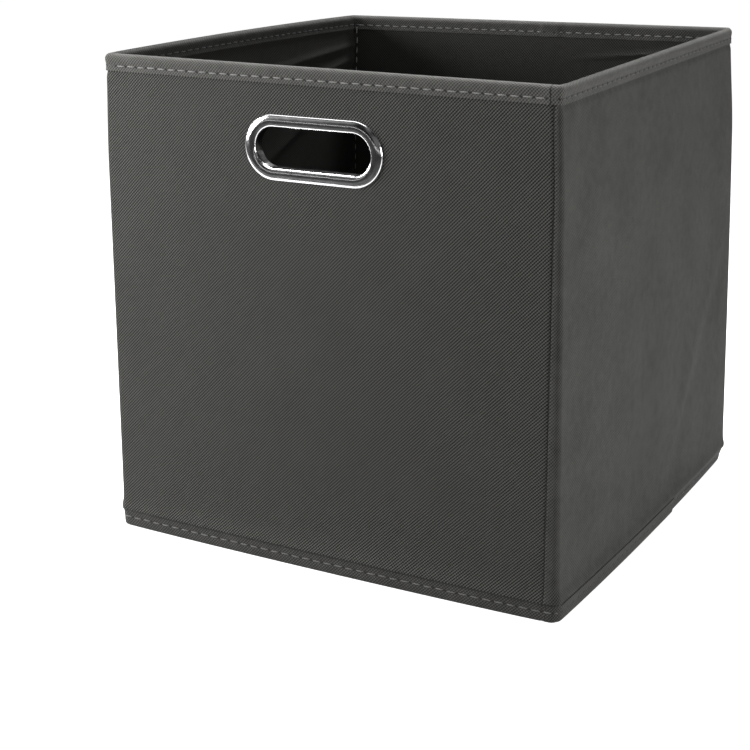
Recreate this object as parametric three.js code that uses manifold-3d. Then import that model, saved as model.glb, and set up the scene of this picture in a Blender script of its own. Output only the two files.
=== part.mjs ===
// Fabric storage bin: a square open-topped bin of non-woven fabric. The front and back walls are
// stiffened with cardboard, the side walls are soft and fold inwards on a middle crease, and a
// loose covered board lies on the bottom. An oval metal grommet in the front wall is the handle.
//
// Millimetres, +Z up. The front faces -Y, the bin stands on Z = 0 and is centred on X = Y = 0.

import * as THREE from 'three';
import { mergeVertices } from 'three/addons/utils/BufferGeometryUtils.js';
import Module from 'manifold-3d';

const wasm = await Module();
wasm.setup();

// Overall size, measured over the bindings.
const BIN_WIDTH = 315;
const BIN_DEPTH = 315;
const BIN_HEIGHT = 320;

// Sheet materials.
const FABRIC = 0.6;
const BINDING = 0.8;
const CARD = 2.4;
const GAP = 0.3;

// Bindings: the strip over the rim, and the strip round the bottom edge.
const RIM_HEIGHT = 10.7;
const BASE_HEIGHT = 11.7;
const BASE_FOOT = 4;

// Walls.
const CORNER_RADIUS = 4;
const STIFFENER_INSET = 6;
const STIFFENER_TOP_INSET = 12;

// Fold: a crease down the middle of each side wall, whose hinge line lies CREASE_GAP outside the
// bindings, and a hinge line in the thickness of the side wall near each corner, at Y = HINGE_Y.
const CREASE_GAP = 0.2;
const HINGE_CLEARANCE = 0.35;
const HINGE_OVERHANG = 0.4;

// Handle: a stadium-shaped grommet, a little left of the front wall's middle.
const HANDLE_X = -3;
const HANDLE_Z = 271;
const HANDLE_STRAIGHT = 54.5;
const HANDLE_OPENING_RADIUS = 12.5;
const HANDLE_OUTER_RADIUS = 20.5;
const METAL = 0.8;
const DOME_HEIGHT = 2.4;
const CURL_REACH = 3;

// Base board.
const BOARD_WIDTH = 303;
const BOARD_DEPTH = 298;
const BOARD_CARD = 2.0;
const BOARD_COVER = 0.5;
const BOARD_RADIUS = 5;

// Worked out from the sizes above. "Proud" is how far a binding stands off the fabric under it.
const PROUD = BINDING + GAP;
const SOFT_WALL = 2 * FABRIC + GAP;
const STIFF_WALL = 2 * FABRIC + CARD + 2 * GAP;
const PANEL_BOTTOM = BASE_HEIGHT + GAP;
const PANEL_TOP = BIN_HEIGHT - PROUD;
const RIM_BOTTOM = BIN_HEIGHT - RIM_HEIGHT;
const FRONT_DEPTH = STIFF_WALL + 2 * PROUD;
const SIDE_DEPTH = SOFT_WALL + 2 * PROUD;
const HINGE_Y = BIN_DEPTH / 2 - FRONT_DEPTH - SIDE_DEPTH / 2 - HINGE_CLEARANCE;
const SIDE_END = HINGE_Y + HINGE_OVERHANG;
const FLOOR_TOP = BINDING + GAP + FABRIC;

const COLOURS = {
  outer: new THREE.MeshStandardMaterial({ color: 0x4b4b46, roughness: 0.85 }),
  lining: new THREE.MeshStandardMaterial({ color: 0x1c1c1d, roughness: 0.9 }),
  binding: new THREE.MeshStandardMaterial({ color: 0x55554f, roughness: 0.85 }),
  card: new THREE.MeshStandardMaterial({ color: 0xa08a6a, roughness: 0.9 }),
  chrome: new THREE.MeshStandardMaterial({ color: 0xd8d8da, roughness: 0.12, metalness: 1 }),
};

// ---------------------------------------------------------------------------------------------
// Shapes

function rectangle(x0, x1, y0, y1) {
  return new THREE.Shape([
    new THREE.Vector2(x0, y0),
    new THREE.Vector2(x1, y0),
    new THREE.Vector2(x1, y1),
    new THREE.Vector2(x0, y1),
  ]);
}

function roundedRectangle(width, depth, radius) {
  const x = width / 2 - radius;
  const y = depth / 2 - radius;
  const shape = new THREE.Shape();
  shape.absarc(x, y, radius, 0, Math.PI / 2);
  shape.absarc(-x, y, radius, Math.PI / 2, Math.PI);
  shape.absarc(-x, -y, radius, Math.PI, 1.5 * Math.PI);
  shape.absarc(x, -y, radius, 1.5 * Math.PI, 2 * Math.PI);
  return shape;
}

// A slot with round ends, lying along X.
function stadium(straight, radius, x, y, path = new THREE.Shape()) {
  path.absarc(x + straight / 2, y, radius, -Math.PI / 2, Math.PI / 2);
  path.absarc(x - straight / 2, y, radius, Math.PI / 2, 1.5 * Math.PI);
  return path;
}

// Plan of a fabric sheet that lies along X and turns back round a corner at each end.
function wrappedPlan(width, front, back, thickness, radius) {
  const x = width / 2;
  const inner = radius - thickness;
  const shape = new THREE.Shape();
  shape.moveTo(-x, back);
  shape.absarc(-x + radius, front + radius, radius, Math.PI, 1.5 * Math.PI);
  shape.absarc(x - radius, front + radius, radius, 1.5 * Math.PI, 2 * Math.PI);
  shape.lineTo(x, back);
  shape.lineTo(x - thickness, back);
  shape.absarc(x - radius, front + radius, inner, 2 * Math.PI, 1.5 * Math.PI, true);
  shape.absarc(-x + radius, front + radius, inner, 1.5 * Math.PI, Math.PI, true);
  shape.lineTo(-x + thickness, back);
  return shape;
}

// Section of a strip folded over an edge, open downwards.
function foldedStrip(depth, bottom, top, thickness) {
  return new THREE.Shape([
    new THREE.Vector2(0, bottom),
    new THREE.Vector2(thickness, bottom),
    new THREE.Vector2(thickness, top - thickness),
    new THREE.Vector2(depth - thickness, top - thickness),
    new THREE.Vector2(depth - thickness, bottom),
    new THREE.Vector2(depth, bottom),
    new THREE.Vector2(depth, top),
    new THREE.Vector2(0, top),
  ]);
}

// ---------------------------------------------------------------------------------------------
// Solids

function extrude(shape, length) {
  return new THREE.ExtrudeGeometry(shape, { depth: length, bevelEnabled: false, curveSegments: 12 });
}

// A shape drawn in plan, standing from one height to another.
function alongZ(shape, bottom, top) {
  return extrude(shape, top - bottom).translate(0, 0, bottom);
}

// A shape drawn in elevation (X, Z), reaching from one depth to another.
function alongY(shape, front, back) {
  return extrude(shape, back - front).rotateX(Math.PI / 2).translate(0, back, 0);
}

// A section drawn in (Y, Z), running from one X to another.
function alongX(shape, from, to) {
  return extrude(shape, to - from).rotateX(Math.PI / 2).rotateZ(Math.PI / 2).translate(from, 0, 0);
}

function toManifold(geometry) {
  const plain = geometry.clone();
  plain.deleteAttribute('normal');
  plain.deleteAttribute('uv');
  const welded = mergeVertices(plain, 1e-4);
  return new wasm.Manifold(new wasm.Mesh({
    numProp: 3,
    vertProperties: new Float32Array(welded.attributes.position.array),
    triVerts: new Uint32Array(welded.index.array),
  }));
}

function fromManifold(solid) {
  const mesh = solid.getMesh();
  const geometry = new THREE.BufferGeometry();
  geometry.setAttribute('position', new THREE.BufferAttribute(mesh.vertProperties, 3));
  geometry.setIndex(new THREE.BufferAttribute(mesh.triVerts, 1));
  const flat = geometry.toNonIndexed();
  flat.computeVertexNormals();
  return flat;
}

function cut(body, ...tools) {
  const solid = tools.reduce((rest, tool) => rest.subtract(toManifold(tool)), toManifold(body));
  return fromManifold(solid);
}

// A ring with a constant section round a stadium. The profile is (distance from the straight
// centre line, depth), closed on itself; a turned ring is pulled apart along X by the straight.
function stadiumRing(profile, straight, segments = 48) {
  const closed = [...profile, profile[0]].map(([r, depth]) => new THREE.Vector2(r, depth));
  const turned = new THREE.LatheGeometry(closed, segments, Math.PI / segments);
  turned.deleteAttribute('normal');
  turned.deleteAttribute('uv');
  const ring = mergeVertices(turned, 1e-4);
  const position = ring.attributes.position;
  for (let i = 0; i < position.count; i += 1) {
    position.setX(i, position.getX(i) + Math.sign(position.getX(i)) * straight / 2);
  }
  const flat = ring.toNonIndexed();
  flat.computeVertexNormals();
  return flat;
}

function node(name, geometry, material) {
  const mesh = new THREE.Mesh(geometry, material);
  mesh.name = name;
  return mesh;
}

// ---------------------------------------------------------------------------------------------
// Front and back walls. Each is drawn with its outside towards -Y and its outermost plane, the
// face of its bindings, on Y = 0.

function handleHole() {
  const radius = HANDLE_OPENING_RADIUS + METAL + GAP;
  return stadium(HANDLE_STRAIGHT, radius, HANDLE_X, HANDLE_Z, new THREE.Path());
}

function sheet(halfWidth, top, front, thickness, hasHandle) {
  const shape = rectangle(-halfWidth, halfWidth, PANEL_BOTTOM, top);
  if (hasHandle) {
    shape.holes.push(handleHole());
  }
  return alongY(shape, front, front + thickness);
}

function outerPanel(hasHandle) {
  const width = BIN_WIDTH - 2 * PROUD;
  const plan = wrappedPlan(width, PROUD, PROUD + STIFF_WALL, FABRIC, CORNER_RADIUS);
  const panel = alongZ(plan, PANEL_BOTTOM, PANEL_TOP);
  if (!hasHandle) {
    return panel;
  }
  const hole = new THREE.Shape(handleHole().getPoints(12));
  return cut(panel, alongY(hole, 0, PROUD + FABRIC + GAP));
}

function stiffWall(side, hasHandle) {
  const wall = new THREE.Group();
  const cardFront = PROUD + FABRIC + GAP;
  const liningFront = cardFront + CARD + GAP;
  const liningHalf = BIN_WIDTH / 2 - PROUD - FABRIC - GAP;
  const cardHalf = liningHalf - STIFFENER_INSET;
  const rim = foldedStrip(FRONT_DEPTH, RIM_BOTTOM, BIN_HEIGHT, BINDING);
  wall.add(
    node(`${side}_outer_panel`, outerPanel(hasHandle), COLOURS.outer),
    node(`${side}_stiffener`,
      sheet(cardHalf, BIN_HEIGHT - STIFFENER_TOP_INSET, cardFront, CARD, hasHandle), COLOURS.card),
    node(`${side}_lining`, sheet(liningHalf, PANEL_TOP, liningFront, FABRIC, hasHandle), COLOURS.lining),
    node(`${side}_rim_binding`, alongX(rim, -BIN_WIDTH / 2, BIN_WIDTH / 2), COLOURS.binding),
  );
  return wall;
}

// ---------------------------------------------------------------------------------------------
// Handle, drawn in the front wall's own place.

function grommetFace() {
  const face = PROUD - GAP;
  const inside = HANDLE_OPENING_RADIUS;
  const outside = HANDLE_OUTER_RADIUS;
  const barrel = inside + METAL;
  const dome = face - DOME_HEIGHT;
  const end = PROUD + STIFF_WALL + 2 * GAP + METAL;
  const profile = [
    [inside, end],
    [inside, face - 0.7],
    [inside + 0.5, face - 1.7],
    [inside + 1.5, dome],
    [inside + 3.2, dome - 0.1],
    [inside + 5.0, dome + 0.5],
    [outside - 1.2, face - 1.0],
    [outside - 0.2, face - 0.3],
    [outside, face],
    [outside - METAL, face],
    [outside - 1.7, face - 0.4],
    [inside + 4.8, dome + 0.5 + METAL],
    [inside + 3.2, dome - 0.1 + METAL],
    [inside + 1.9, dome + METAL],
    [barrel + 0.2, face - 1.0],
    [barrel, face],
    [barrel, end - 0.5],
    [barrel + 0.4, end],
    [barrel + CURL_REACH, end],
    [barrel + CURL_REACH, end + 0.5],
    [barrel + 1.0, end + METAL],
    [inside + 0.6, end + METAL * 0.7],
  ];
  return stadiumRing(profile, HANDLE_STRAIGHT);
}

function grommetBack() {
  const front = PROUD + STIFF_WALL + GAP;
  const inside = HANDLE_OPENING_RADIUS + METAL + GAP;
  const outside = HANDLE_OUTER_RADIUS;
  const profile = [
    [inside, front + METAL],
    [inside, front],
    [outside, front],
    [outside, front + 0.35],
    [outside - 0.5, front + METAL],
  ];
  return stadiumRing(profile, HANDLE_STRAIGHT);
}

function handle() {
  const grommet = new THREE.Group();
  grommet.position.set(HANDLE_X, 0, HANDLE_Z);
  grommet.add(
    node('grommet_face_ring', grommetFace(), COLOURS.chrome),
    node('grommet_back_ring', grommetBack(), COLOURS.chrome),
  );
  return grommet;
}

// ---------------------------------------------------------------------------------------------
// Side walls. Each is drawn like the front wall, centred on its crease at X = 0, and is made of
// two halves that stop just short of the crease and just past the corner hinges.

function sideHalf(name, from, to) {
  const half = new THREE.Group();
  const rim = foldedStrip(SIDE_DEPTH, RIM_BOTTOM, BIN_HEIGHT, BINDING);
  const panel = rectangle(from, to, PANEL_BOTTOM, PANEL_TOP);
  const liningFront = PROUD + FABRIC + GAP;
  half.add(
    node(`${name}_outer_panel`, alongY(panel, PROUD, PROUD + FABRIC), COLOURS.outer),
    node(`${name}_lining`, alongY(panel, liningFront, liningFront + FABRIC), COLOURS.lining),
    node(`${name}_rim_binding`, alongX(rim, from, to), COLOURS.binding),
  );
  return half;
}

function softWall(nearName, farName) {
  const wall = new THREE.Group();
  wall.add(sideHalf(nearName, CREASE_GAP, SIDE_END), sideHalf(farName, -SIDE_END, -CREASE_GAP));
  return wall;
}

// ---------------------------------------------------------------------------------------------
// Bottom

// The fabric bottom, a shallow tray whose lip is its turned-up seam allowance.
function bottomPanel() {
  const inset = 2 * PROUD;
  const lip = 2 * FABRIC;
  const outline = roundedRectangle(BIN_WIDTH - inset, BIN_DEPTH - inset, CORNER_RADIUS);
  const inside = roundedRectangle(BIN_WIDTH - inset - lip, BIN_DEPTH - inset - lip, CORNER_RADIUS - FABRIC);
  return cut(alongZ(outline, PROUD, BASE_HEIGHT), alongZ(inside, FLOOR_TOP, BASE_HEIGHT + 1));
}

// The strip round the bottom edge: an upright band with a foot turned in under the bottom panel.
function bottomBinding() {
  const outline = roundedRectangle(BIN_WIDTH, BIN_DEPTH, CORNER_RADIUS + PROUD);
  const inside = roundedRectangle(BIN_WIDTH - 2 * BINDING, BIN_DEPTH - 2 * BINDING, CORNER_RADIUS + GAP);
  const window = roundedRectangle(BIN_WIDTH - 2 * BASE_FOOT, BIN_DEPTH - 2 * BASE_FOOT, GAP);
  return cut(
    alongZ(outline, 0, BASE_HEIGHT),
    alongZ(inside, BINDING, BASE_HEIGHT + 1),
    alongZ(window, -1, BASE_HEIGHT + 1),
  );
}

// The board's fabric cover is a sleeve, open along its rear edge.
function boardCover(bottom) {
  const wrap = 2 * (BOARD_COVER + GAP);
  const top = bottom + BOARD_CARD + wrap;
  const outline = roundedRectangle(BOARD_WIDTH, BOARD_DEPTH, BOARD_RADIUS);
  const halfWidth = BOARD_WIDTH / 2 - BOARD_COVER;
  const cavity = rectangle(-halfWidth, halfWidth, BOARD_COVER - BOARD_DEPTH / 2, BOARD_DEPTH);
  return cut(
    alongZ(outline, bottom, top),
    alongZ(cavity, bottom + BOARD_COVER, top - BOARD_COVER),
  );
}

function baseBoard() {
  const board = new THREE.Group();
  const bottom = FLOOR_TOP + GAP;
  const inset = 2 * (BOARD_COVER + GAP);
  const core = roundedRectangle(BOARD_WIDTH - inset, BOARD_DEPTH - inset, BOARD_RADIUS);
  const coreBottom = bottom + BOARD_COVER + GAP;
  board.add(
    node('base_board_cover', boardCover(bottom), COLOURS.lining),
    node('base_board_core', alongZ(core, coreBottom, coreBottom + BOARD_CARD), COLOURS.card),
  );
  return board;
}

// ---------------------------------------------------------------------------------------------
// The bin

function fabricStorageBin() {
  const bin = new THREE.Group();

  const front = stiffWall('front', true);
  front.add(handle());
  front.position.y = -BIN_DEPTH / 2;

  const back = stiffWall('back', false);
  back.rotation.z = Math.PI;
  back.position.y = BIN_DEPTH / 2;

  const left = softWall('left_front', 'left_rear');
  left.rotation.z = -Math.PI / 2;
  left.position.x = -BIN_WIDTH / 2;

  const right = softWall('right_rear', 'right_front');
  right.rotation.z = Math.PI / 2;
  right.position.x = BIN_WIDTH / 2;

  const bottom = new THREE.Group();
  bottom.add(
    node('bottom_panel', bottomPanel(), COLOURS.outer),
    node('bottom_binding', bottomBinding(), COLOURS.binding),
  );

  bin.add(front, back, left, right, bottom, baseBoard());
  return bin;
}

export default fabricStorageBin();
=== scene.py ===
"""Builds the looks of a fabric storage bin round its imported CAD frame."""
import logging
import math
from dataclasses import dataclass, field
from enum import Enum

import bmesh
import bpy
from mathutils import Matrix, Vector


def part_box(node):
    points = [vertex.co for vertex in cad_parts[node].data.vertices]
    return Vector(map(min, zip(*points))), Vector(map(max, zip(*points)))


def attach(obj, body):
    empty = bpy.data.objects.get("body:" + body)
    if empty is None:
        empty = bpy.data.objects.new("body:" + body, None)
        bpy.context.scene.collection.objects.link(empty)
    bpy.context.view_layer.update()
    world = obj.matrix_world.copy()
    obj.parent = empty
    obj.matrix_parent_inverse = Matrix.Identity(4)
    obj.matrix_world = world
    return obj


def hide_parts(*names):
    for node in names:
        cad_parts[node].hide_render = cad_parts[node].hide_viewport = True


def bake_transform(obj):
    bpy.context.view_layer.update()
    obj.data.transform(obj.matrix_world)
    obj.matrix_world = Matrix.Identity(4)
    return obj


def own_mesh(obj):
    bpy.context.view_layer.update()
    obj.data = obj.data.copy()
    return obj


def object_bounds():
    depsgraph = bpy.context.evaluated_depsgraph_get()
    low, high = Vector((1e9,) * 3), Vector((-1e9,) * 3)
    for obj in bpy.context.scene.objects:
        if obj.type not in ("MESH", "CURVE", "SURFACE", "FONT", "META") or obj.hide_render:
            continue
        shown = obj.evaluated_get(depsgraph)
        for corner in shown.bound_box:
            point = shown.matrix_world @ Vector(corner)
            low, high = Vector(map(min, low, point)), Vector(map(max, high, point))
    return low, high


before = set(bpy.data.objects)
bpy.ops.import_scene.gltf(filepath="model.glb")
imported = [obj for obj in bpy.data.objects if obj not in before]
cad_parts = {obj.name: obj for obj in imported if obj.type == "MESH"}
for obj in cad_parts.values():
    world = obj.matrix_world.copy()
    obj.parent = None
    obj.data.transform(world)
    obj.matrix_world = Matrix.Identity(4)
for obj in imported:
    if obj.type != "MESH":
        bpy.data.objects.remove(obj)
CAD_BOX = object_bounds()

LOG = logging.getLogger("storage_bin")
MM = 0.001
LOW, HIGH = CAD_BOX
SIDE = round(HIGH.x - LOW.x, 4)
TOP = round(HIGH.z, 4)
HALF = SIDE / 2
PITCH = 7.8 * MM
RIM_DEPTH = 6.4 * MM
HOLE_STRAIGHT_HALF = 27.25 * MM
UV_NAME = "Cloth"
SHARP_ANGLE = math.radians(40)
WIDE = Vector((1, 0, 0))
DEEP = Vector((0, 1, 0))
UPRIGHT = Vector((0, 0, 1))


def clamp(value: float, low: float = 0.0, high: float = 1.0) -> float:
    """Returns value held between low and high."""
    return max(low, min(high, value))


def ease(value: float) -> float:
    """Returns value held to 0..1 and eased at both ends."""
    t = clamp(value)
    return t * t * (3 - 2 * t)


def bell(value: float, centre: float, width: float) -> float:
    """Returns a smooth hump of height 1 at centre, width wide to each side."""
    return math.exp(-(((value - centre) / width) ** 2))


# ---------------------------------------------------------------- shader maths


class Sock:
    """One shader output whose operators add the Math nodes they stand for."""

    def __init__(self, tree: bpy.types.NodeTree, out: bpy.types.NodeSocket) -> None:
        """Keeps the node tree and the output socket."""
        self.tree = tree
        self.out = out

    def math(self, operation: str, *others: "Sock | float", clamped: bool = False) -> "Sock":
        """Adds one Math node.

        Args:
            operation: The Math node's operation.
            others: The second and third operands.
            clamped: Whether the result is held to 0..1.

        Returns:
            The node's output.
        """
        settings = {"operation": operation, "use_clamp": clamped}
        return add_node(self.tree, "ShaderNodeMath", settings, dict(enumerate((self, *others))))

    def __add__(self, other: "Sock | float") -> "Sock":
        """Returns self + other."""
        return self.math("ADD", other)

    __radd__ = __add__

    def __mul__(self, other: "Sock | float") -> "Sock":
        """Returns self * other."""
        return self.math("MULTIPLY", other)

    __rmul__ = __mul__

    def __sub__(self, other: "Sock | float") -> "Sock":
        """Returns self - other."""
        return self.math("SUBTRACT", other)

    def __rsub__(self, other: float) -> "Sock":
        """Returns other - self."""
        return self * -1.0 + other

    def __truediv__(self, other: "Sock | float") -> "Sock":
        """Returns self / other."""
        return self.math("DIVIDE", other)

    def sine(self) -> "Sock":
        """Returns the sine."""
        return self.math("SINE")

    def held(self) -> "Sock":
        """Returns self held to 0..1."""
        return self.math("ADD", 0.0, clamped=True)

    def hump(self, width: float) -> "Sock":
        """Returns 1 where self is 0, falling to 0 at width to either side."""
        return self.math("ABSOLUTE").math("DIVIDE", width).math("MULTIPLY_ADD", -1.0, 1.0, clamped=True)


def fill_sockets(node: bpy.types.Node, values: dict[str | int, object]) -> None:
    """Sets or links a node's input sockets.

    Args:
        node: The node.
        values: What each named or numbered socket holds or is linked to.
    """
    for key, value in values.items():
        if isinstance(value, Sock):
            value.tree.links.new(value.out, node.inputs[key])
        else:
            node.inputs[key].default_value = value


def add_node(tree: bpy.types.NodeTree, kind: str, settings: dict[str, object],
             values: dict[str | int, object], out: int | str = 0) -> Sock:
    """Adds any node.

    Args:
        tree: The node tree that it goes in.
        kind: The node's type.
        settings: Its properties, set first.
        values: What its input sockets hold or are linked to.
        out: Which output to return.

    Returns:
        The chosen output.
    """
    node = tree.nodes.new(kind)
    for key, value in settings.items():
        setattr(node, key, value)
    fill_sockets(node, values)
    return Sock(tree, node.outputs[out])


class Finish:
    """A material whose nodes are made by method calls."""

    def __init__(self, name: str) -> None:
        """Starts a node material with a Principled shader.

        Args:
            name: The material's name.
        """
        self.material = bpy.data.materials.new(name)
        self.material.use_nodes = True
        self.tree = self.material.node_tree
        self.shader = self.tree.nodes["Principled BSDF"]

    def node(self, kind: str, settings: dict[str, object], values: dict[str | int, object],
             out: int | str = 0) -> Sock:
        """Adds any node to the material and returns one of its outputs."""
        return add_node(self.tree, kind, settings, values, out)

    def uv(self) -> tuple[Sock, Sock]:
        """Returns the cloth's own two coordinates, in metres."""
        place = self.node("ShaderNodeUVMap", {"uv_map": UV_NAME}, {})
        split = self.node("ShaderNodeSeparateXYZ", {}, {"Vector": place})
        return split, Sock(self.tree, split.out.node.outputs[1])

    def place(self) -> Sock:
        """Returns the object coordinates."""
        return self.node("ShaderNodeTexCoord", {}, {}, "Object")

    def noise(self, vector: Sock, scale: float, detail: float = 2.0) -> Sock:
        """Returns a noise value about 0.5 at so many bumps to the metre."""
        return self.node("ShaderNodeTexNoise", {}, {"Vector": vector, "Scale": scale, "Detail": detail})

    def mix(self, factor: Sock, dark: tuple[float, ...], light: tuple[float, ...]) -> Sock:
        """Returns a colour between dark and light."""
        return self.node(
            "ShaderNodeMix", {"data_type": "RGBA"}, {0: factor, 6: (*dark, 1.0), 7: (*light, 1.0)}, 2
        )

    def set(self, **values: object) -> "Finish":
        """Sets or links the shader's sockets, named with _ for a space."""
        fill_sockets(self.shader, {key.replace("_", " "): value for key, value in values.items()})
        return self

    def bump(self, height: Sock, distance: float, strength: float = 1.0) -> Sock:
        """Returns a normal bent by a height in units of distance."""
        sockets = {"Height": height, "Distance": distance, "Strength": strength}
        return self.node("ShaderNodeBump", {}, sockets)


@dataclass(frozen=True)
class EmbossedCloth:
    """Non-woven cloth pressed with a diagonal lattice of fine ribs.

    Its colours are those of the darkest and the lightest places. Holes are the heights of needle
    rows, and seams are the places of upright sewn lines along the girth; both are drawn darker as
    painted shade. Plain sides have hardly any ribs on the bin's side walls, a dark line of painted shade in
    the sewn seam by the front right corner, and one in the crease just above the base binding.
    """

    name: str
    dark: tuple[float, float, float]
    light: tuple[float, float, float]
    relief: float = 0.28 * MM
    period: float = 1.50 * MM
    contrast: float = 1.0
    roughness: float = 0.74
    sheen: float = 0.08
    specular: float = 0.22
    holes: tuple[float, ...] = ()
    seams: tuple[float, ...] = ()
    # inner_shade and foot_shade are painted shade: how much darker the rim's inside and the foot strip are
    # drawn.
    inner_shade: float = 0.0
    foot_shade: float = 0.0
    plain_sides: bool = False
    rising_share: float = 0.64
    fibre_scale: float = 2600.0
    blotch_scale: float = 170.0
    cloud_scale: float = 26.0
    rib_gain: float = 4.0
    fibre_gain: float = 1.2
    blotch_gain: float = 0.4
    cloud_gain: float = 0.42
    side_fade: float = 0.78
    fade_width: float = 2.0 * MM
    line_width: float = 0.9 * MM
    foot_line: float = 12.0 * MM
    # The hole, seam, corner and crease values below draw painted shade in needle holes, seam grooves and the
    # crease above the base binding.
    hole_share: float = 0.15
    hole_width: float = 0.9 * MM
    hole_shade: float = 1.6
    seam_width: float = 0.6 * MM
    seam_shade: float = 0.9
    seam_inset: float = 9.5 * MM
    seam_slope: float = 0.014
    corner_shade: float = 1.3
    crease_shade: float = 1.1
    inside_from: float = TOP + 4.6 * MM

    def lattice(self, u: Sock, v: Sock) -> Sock:
        """Returns the height of the pressed lattice, 0 to 1, at the cloth's coordinates."""
        turn = 2 * math.pi / (self.period * math.sqrt(2))
        rising = ((u - v) * turn).sine() * 0.5 + 0.5
        falling = ((u + v) * turn).sine() * 0.5 + 0.5
        return rising * self.rising_share + falling * (1 - self.rising_share)

    def side_press(self, u: Sock, v: Sock) -> tuple[Sock, Sock]:
        """Works out what the side walls have instead of ribs, and the painted shade lines in the corner seam
        and the foot crease.

        Args:
            u: The place along the girth.
            v: The height.

        Returns:
            How strongly the ribs are pressed, and how dark the painted shade lines in the seam and the
            crease are.
        """
        corner = u.math("GREATER_THAN", 0.0) * (v * self.seam_slope - self.seam_inset)
        past = u.math("ABSOLUTE") - HALF - corner
        side = (past / self.fade_width).held()
        side = side * u.math("ABSOLUTE").math("LESS_THAN", SIDE + HALF)
        press = (1.0 - side * self.side_fade) * self.contrast
        # Painted shade: a dark line in the seam's groove by the front right corner, and one in the crease
        # just above the base binding.
        seam = (u - HALF - corner).hump(self.line_width) * self.corner_shade
        crease = (v - self.foot_line).hump(self.line_width) * self.crease_shade
        return press, seam + crease

    def shaded(self, tone: Sock, u: Sock, v: Sock) -> Sock:
        """Darkens a tone with painted shade at needle holes, sewn lines, inside the rim and at the foot.

        Args:
            tone: The tone so far.
            u: The place along the girth.
            v: The height, or the way across a folded strip.

        Returns:
            The darkened tone.
        """
        # Painted shade in the needle holes.
        for row in self.holes:
            along = ((u / PITCH).math("FRACT") - 0.5).math("ABSOLUTE")
            hole = (0.5 - along).hump(self.hole_share) * (v - row).hump(self.hole_width)
            tone = tone - hole * self.hole_shade
        # Painted shade in the grooves of the sewn seams.
        for line in self.seams:
            tone = tone - (u - line).hump(self.seam_width) * self.seam_shade
        # Painted shade: the rim's inside and the foot strip are drawn darker than the rim's outside.
        if self.inner_shade:
            tone = tone - v.math("GREATER_THAN", self.inside_from) * self.inner_shade
            tone = tone - v.math("LESS_THAN", HALF) * self.foot_shade
        return tone

    def make(self) -> bpy.types.Material:
        """Returns the material, its pattern on the cloth's own coordinates."""
        finish = Finish(self.name)
        u, v = finish.uv()
        flat = finish.node("ShaderNodeUVMap", {"uv_map": UV_NAME}, {})
        fibre = finish.noise(flat, self.fibre_scale, 3.0)
        cloud = finish.noise(finish.place(), self.cloud_scale, 3.0)
        blotch = finish.noise(finish.place(), self.blotch_scale, 2.0)
        rib = self.lattice(u, v)
        press = self.contrast
        if self.plain_sides:
            press, lines = self.side_press(u, v)
            # The painted shade lines darken the fibre tone, and with it the roughness and the bump.
            fibre = fibre - lines
        tone = (rib - 0.5) * press * self.rib_gain + (fibre - 0.5) * self.fibre_gain
        tone = tone + (cloud - 0.5) * self.cloud_gain + (blotch - 0.5) * self.blotch_gain + 0.5
        colour = finish.mix(self.shaded(tone, u, v).held(), self.dark, self.light)
        height = rib * press + fibre * 0.3
        return finish.set(
            Base_Color=colour,
            Roughness=(fibre - 0.5) * 0.25 + self.roughness,
            Normal=finish.bump(height, self.relief),
            Sheen_Weight=self.sheen,
            Sheen_Roughness=0.5,
            Specular_IOR_Level=self.specular,
        ).material


@dataclass(frozen=True)
class Thread:
    """Twisted sewing thread."""

    name: str = "thread"
    dark: tuple[float, float, float] = (0.12, 0.118, 0.112)
    light: tuple[float, float, float] = (0.44, 0.435, 0.415)

    def make(self) -> bpy.types.Material:
        """Returns the material, its twist on the thread's own coordinates."""
        finish = Finish(self.name)
        u, v = finish.uv()
        ply = ((u * 0.8 + v) * (2 * math.pi / (0.9 * MM))).sine() * 0.5 + 0.5
        fuzz = finish.noise(finish.place(), 3000.0, 2.0)
        tone = ply * 0.7 + fuzz * 0.5
        return finish.set(
            Base_Color=finish.mix(tone.math("ADD", -0.1, clamped=True), self.dark, self.light),
            Roughness=0.6,
            Normal=finish.bump(ply, 0.08 * MM),
            Sheen_Weight=0.2,
        ).material


@dataclass(frozen=True)
class Cardboard:
    """Grey-brown pressed board."""

    name: str = "pressed_board"
    dark: tuple[float, float, float] = (0.16, 0.115, 0.07)
    light: tuple[float, float, float] = (0.33, 0.25, 0.16)

    def make(self) -> bpy.types.Material:
        """Returns the material."""
        finish = Finish(self.name)
        fibre = finish.noise(finish.place(), 900.0, 5.0)
        fleck = finish.noise(finish.place(), 90.0, 3.0)
        tone = (fibre * 0.7 + fleck * 0.5).math("ADD", -0.1, clamped=True)
        return finish.set(
            Base_Color=finish.mix(tone, self.dark, self.light),
            Roughness=fibre * 0.2 + 0.75,
            Normal=finish.bump(fibre, 0.1 * MM),
        ).material


@dataclass(frozen=True)
class Chrome:
    """Bright plated metal with the faintest orange-peel and handling haze."""

    name: str = "chrome_plate"

    def make(self) -> bpy.types.Material:
        """Returns the material."""
        finish = Finish(self.name)
        haze = finish.noise(finish.place(), 220.0, 4.0)
        peel = finish.noise(finish.place(), 420.0, 1.0)
        return finish.set(
            Base_Color=finish.mix(haze, (0.72, 0.72, 0.73), (0.86, 0.86, 0.87)),
            Metallic=1.0,
            Roughness=haze * 0.14 + 0.06,
            Normal=finish.bump(peel, 0.05 * MM, 0.5),
        ).material


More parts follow.
